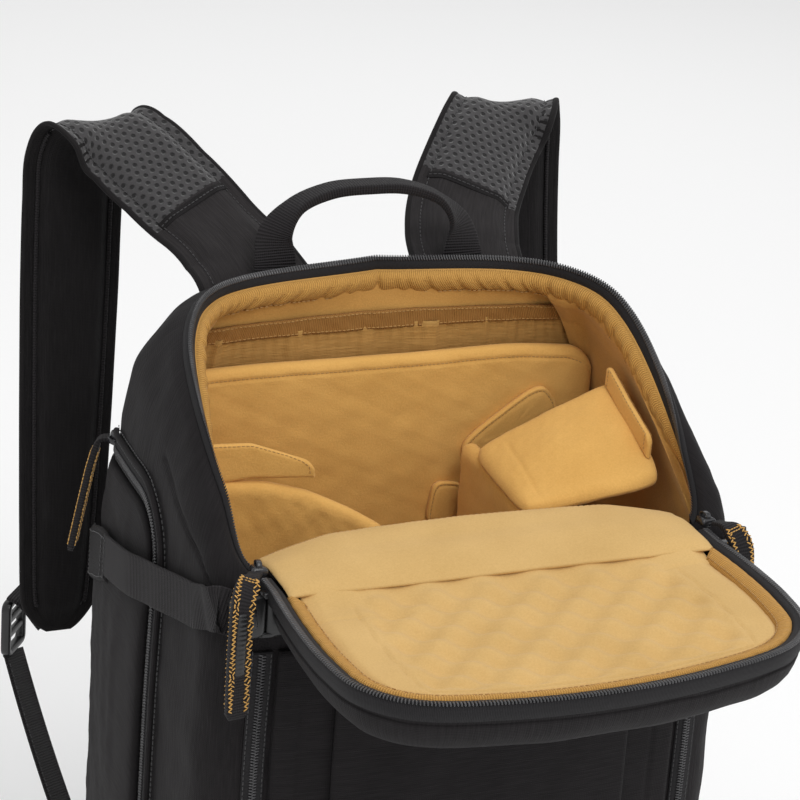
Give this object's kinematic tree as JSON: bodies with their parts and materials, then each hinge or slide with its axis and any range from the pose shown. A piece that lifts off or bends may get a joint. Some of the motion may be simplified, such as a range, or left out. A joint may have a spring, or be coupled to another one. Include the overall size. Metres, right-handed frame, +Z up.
{
  "type": "camera backpack",
  "caption": "Top-opening camera backpack with a folded-open padded lid, arched zipped rim, mustard divided interior, shoulder straps and carry handle.",
  "frame": {"origin": "middle of the base, on the floor that the bag stands on", "axes": "+Z up; the front with the open lid faces -Y; +X is to the right seen from the front"},
  "size_m": [0.3772, 0.4722, 0.5078],
  "materials": {
    "fabric": "matte ripstop polyester",
    "webbing": "ribbed nylon webbing",
    "mesh": "padded air mesh",
    "zipper": "coil zipper on woven tape",
    "plastic": "moulded acetal, satin",
    "lining": "brushed padded tricot",
    "pad": "brushed tricot over moulded foam",
    "binding": "ribbed grosgrain"
  },
  "bodies": {
    "root": {"body_shell": "fabric", "front_panel": "fabric", "front_pocket": "fabric", "lid_shell": "fabric", "lid_hinge": "fabric", "side_door_left": "fabric", "side_door_right": "fabric", "side_piping_left": "fabric", "side_piping_right": "fabric", "side_tab_left": "fabric", "side_tab_right": "fabric", "carry_handle": "webbing", "strap_tip_left": "webbing", "strap_tip_right": "webbing", "strap_webbing_left": "webbing", "strap_webbing_right": "webbing", "strap_anchor_left": "webbing", "strap_anchor_right": "webbing", "zipper_pull_left": "webbing", "zipper_pull_right": "webbing", "side_pull_left": "webbing", "side_pull_right": "webbing", "side_webbing_left": "webbing", "side_webbing_right": "webbing", "buckle_anchor_left": "webbing", "buckle_anchor_right": "webbing", "back_panel": "mesh", "shoulder_strap_left": "mesh", "shoulder_strap_right": "mesh", "opening_zipper": "zipper", "lid_zipper": "zipper", "front_zipper_left": "zipper", "front_zipper_right": "zipper", "side_zipper_left": "zipper", "side_zipper_right": "zipper", "ladder_lock_left": "plastic", "ladder_lock_right": "plastic", "zipper_slider_left": "plastic", "zipper_slider_right": "plastic", "side_slider_left": "plastic", "side_slider_right": "plastic", "buckle_socket_left": "plastic", "buckle_socket_right": "plastic", "buckle_plug_left": "plastic", "buckle_plug_right": "plastic", "lining": "lining", "hinge_lining": "lining", "tall_divider": "lining", "left_divider": "lining", "left_divider_tab": "lining", "right_divider": "lining", "right_divider_flap": "lining", "right_divider_hook": "lining", "right_divider_tab": "lining", "small_tab": "lining", "back_pocket": "lining", "lid_pad": "pad", "opening_binding": "binding", "lid_binding": "binding", "pocket_elastic": "binding"}
  },
  "joints": []
}
